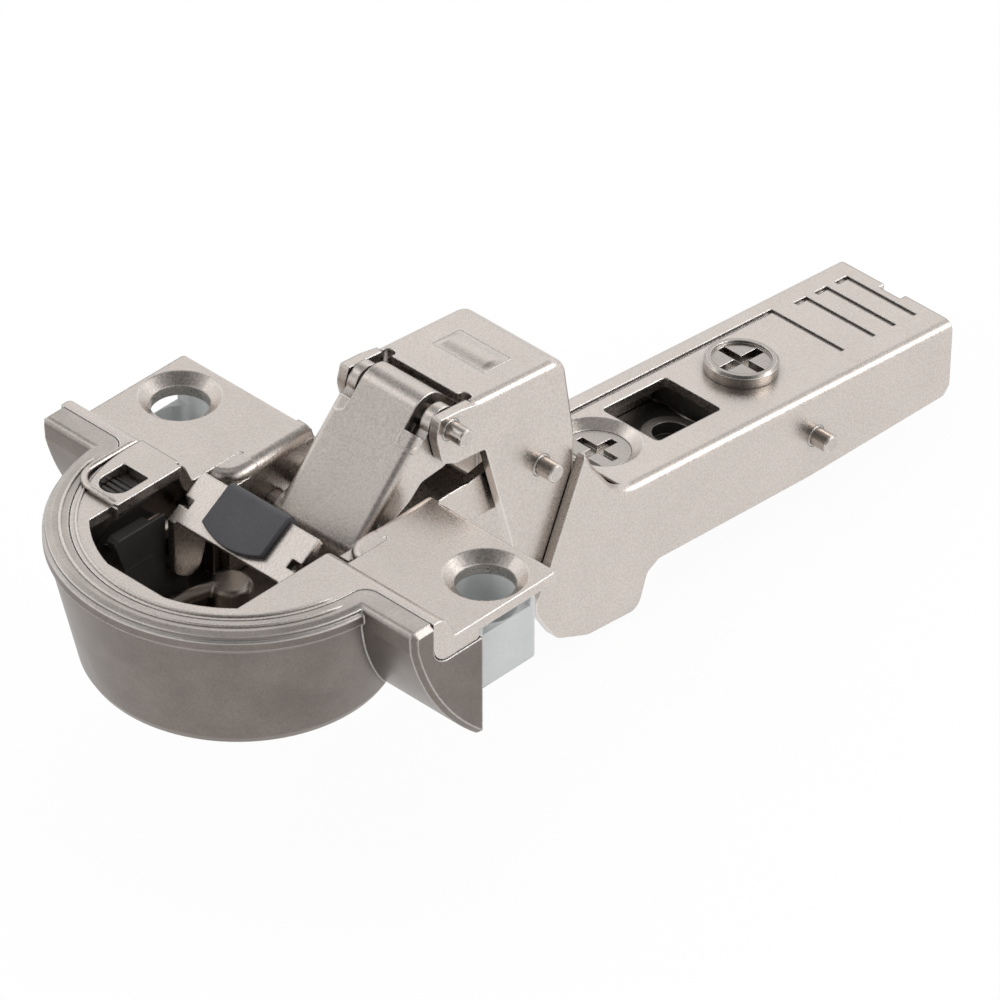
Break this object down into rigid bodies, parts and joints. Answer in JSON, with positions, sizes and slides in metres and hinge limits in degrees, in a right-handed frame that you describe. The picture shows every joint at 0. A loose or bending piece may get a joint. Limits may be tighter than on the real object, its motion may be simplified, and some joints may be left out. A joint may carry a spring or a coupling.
{
  "type": "soft-close concealed hinge",
  "caption": "Concealed cup hinge for a narrow frame door, with soft-close lever, cranked knuckle and clip-on arm, shown fully open.",
  "frame": {"origin": "midpoint between the two screw holes, on the underside of the flanges, where they lie on the frame", "axes": "+X from the cup to the arm, +Z out of the cup along the screw holes, Y along the hinge pins"},
  "size_m": [0.1223, 0.055, 0.0406],
  "materials": {
    "nickel_steel": "nickel plated, fine satin",
    "nickel_casting": "nickel plated casting, satin",
    "pin_steel": "nickel plated, turned",
    "screw_steel": "nickel plated, turned",
    "spring_steel": "oiled spring steel",
    "lever_steel": "nickel plated, fine satin",
    "block_zinc": "zinc die casting, plain",
    "clear_plastic": "milky clear",
    "black_plastic": "moulded, matt",
    "grey_pad": "moulded, soft matt"
  },
  "bodies": {
    "cup": {"cup_housing": "nickel_casting", "cup_plate": "nickel_steel", "frame_block_left": "clear_plastic", "frame_block_right": "clear_plastic", "link_pin": "pin_steel", "inner_link_pin": "pin_steel", "damper_housing": "black_plastic", "damper_cylinder": "lever_steel"},
    "switch": {"switch_slider": "black_plastic"},
    "lever": {"soft_close_lever": "lever_steel", "lever_pad": "grey_pad"},
    "damper": {"damper_slider": "black_plastic", "damper_rod": "lever_steel"},
    "outer_link": {"outer_link": "nickel_steel"},
    "inner_link": {"inner_link": "nickel_steel"},
    "knuckle": {"knuckle": "nickel_steel", "front_pin": "pin_steel", "rear_pin": "pin_steel", "closing_spring": "spring_steel", "tail_pin": "pin_steel"},
    "block": {"adjusting_block": "block_zinc"},
    "arm": {"arm": "nickel_steel", "arm_rear_pin": "pin_steel"},
    "side_screw": {"side_screw": "screw_steel"},
    "depth_screw": {"depth_screw": "screw_steel"},
    "clip": {"clip_hook": "lever_steel", "clip_spring": "spring_steel"}
  },
  "joints": [
    {"name": "fold", "type": "hinge", "parent": "cup", "child": "outer_link", "pos_m": [-0.0005, 0, -0.0049], "axis": [0, -1, 0], "range_deg": [0, 120]},
    {"name": "knuckle_turn", "type": "hinge", "parent": "outer_link", "child": "knuckle", "pos_m": [0.0105, 0, 0.00655], "axis": [0, -1, 0], "range_deg": [-25, 0.5]},
    {"name": "inner_link_turn", "type": "hinge", "parent": "cup", "child": "inner_link", "pos_m": [0.0044, 0, -0.0049], "axis": [0, -1, 0], "range_deg": [-0.5, 122]},
    {"name": "lever_turn", "type": "hinge", "parent": "cup", "child": "lever", "pos_m": [-0.0136, 0, -0.0059], "axis": [0, -1, 0], "range_deg": [-0.5, 78.5]},
    {"name": "damper_stroke", "type": "slide", "parent": "cup", "child": "damper", "axis": [-1, 0, 0], "range_m": [-0.00005, 0.0031]},
    {"name": "damper_switch", "type": "slide", "parent": "cup", "child": "switch", "axis": [1, 0, 0], "range_m": [0, 0.0011]},
    {"name": "side_adjust", "type": "hinge", "parent": "knuckle", "child": "block", "pos_m": [0.05628, 0, -0.0214], "axis": [0, 1, 0], "range_deg": [-1.5, 1.5]},
    {"name": "depth_adjust", "type": "slide", "parent": "block", "child": "arm", "axis": [0.9954, 0, -0.0958], "range_m": [-0.00175, 0.00175]},
    {"name": "side_screw_turn", "type": "hinge", "parent": "arm", "child": "side_screw", "pos_m": [0.04056, 0, -0.01567], "axis": [0.0958, 0, 0.9954], "range_deg": [-361, 361]},
    {"name": "depth_screw_turn", "type": "hinge", "parent": "arm", "child": "depth_screw", "pos_m": [0.06325, 0, -0.01685], "axis": [0.0958, 0, 0.9954], "range_deg": [-60.5, 60.5]},
    {"name": "clip_release", "type": "hinge", "parent": "arm", "child": "clip", "pos_m": [0.06615, 0, -0.02328], "axis": [0, -1, 0], "range_deg": [0, 18], "stiffness_Nm_per_rad": 0.2, "springref_deg": -11.46}
  ],
  "couplings": [
    {"joint": "knuckle_turn", "follows": "fold", "ratio": -0.20417},
    {"joint": "inner_link_turn", "follows": "fold", "ratio": 1.0118},
    {"joint": "lever_turn", "follows": "fold", "ratio": 0.65},
    {"joint": "damper_stroke", "follows": "fold", "m_per_rad": 0.0014423},
    {"joint": "side_screw_turn", "follows": "side_adjust", "ratio": 240},
    {"joint": "depth_screw_turn", "follows": "depth_adjust", "rad_per_m": 598.4}
  ]
}
